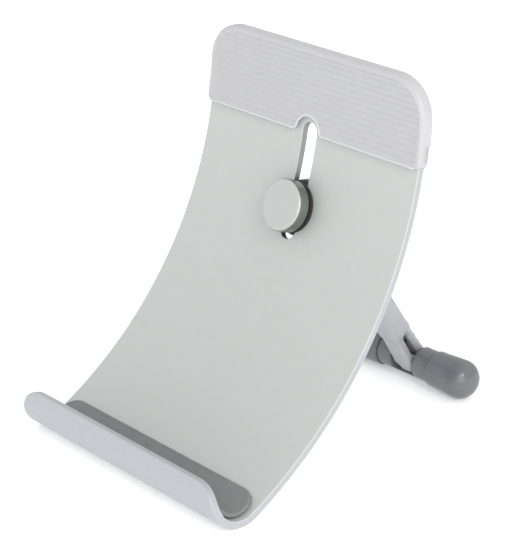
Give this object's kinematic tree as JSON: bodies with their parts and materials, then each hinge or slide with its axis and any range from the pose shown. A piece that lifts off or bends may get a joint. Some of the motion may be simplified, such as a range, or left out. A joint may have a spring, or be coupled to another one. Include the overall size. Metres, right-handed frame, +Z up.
{
  "type": "phone stand",
  "caption": "Desk stand for a phone: a curved plate with a padded front lip, and a rear leg on a round-ended foot bar that slides in a slot and is locked by a thumb knob.",
  "frame": {"origin": "on the desk, under the middle of the stand's box", "axes": "+Z up, +Y towards the back, where the leg is, +X to the right as seen from the front"},
  "size_m": [0.0814, 0.1124, 0.103],
  "materials": {
    "plate": "satin anodised sheet",
    "cap": "ribbed soft grey moulding",
    "pad": "matte dark grey pad",
    "tape": "black adhesive",
    "knob": "turned and satin anodised",
    "insert": "machined",
    "steel": "plain turned steel",
    "screw": "black oxide",
    "grip": "matte black",
    "shoe": "black nylon",
    "casting": "satin grey casting",
    "foot": "smooth grey rubber with a soft gloss"
  },
  "bodies": {
    "stand_plate": {"back_plate": "plate", "top_cap": "cap", "lip_pad": "pad", "pad_tape": "tape"},
    "leg_assembly": {"leg": "casting", "slide_shoe": "shoe", "clamp_stud": "steel", "foot_bar": "steel", "clasp_screw": "screw", "bar_sleeve": "foot", "left_foot": "foot", "right_foot": "foot"},
    "washers": {"grip_washer": "grip", "thrust_washer": "steel"},
    "thumb_knob": {"knob": "knob", "knob_insert": "insert"}
  },
  "joints": [
    {"name": "leg_height", "type": "hinge", "parent": "stand_plate", "child": "leg_assembly", "pos_m": [0, -0.0976, 0.09595], "axis": [1, 0, 0], "range_deg": [-2.35, 7.5]},
    {"name": "washer_lift", "type": "slide", "parent": "leg_assembly", "child": "washers", "axis": [0, -0.9457, 0.325], "range_m": [0, 0.00105]},
    {"name": "knob_turn", "type": "hinge", "parent": "washers", "child": "thumb_knob", "pos_m": [0, 0.00406, 0.06101], "axis": [0, -0.9457, 0.325], "range_deg": [0, 540]}
  ],
  "couplings": [
    {"joint": "knob_turn", "follows": "washer_lift", "rad_per_m": 8976}
  ]
}
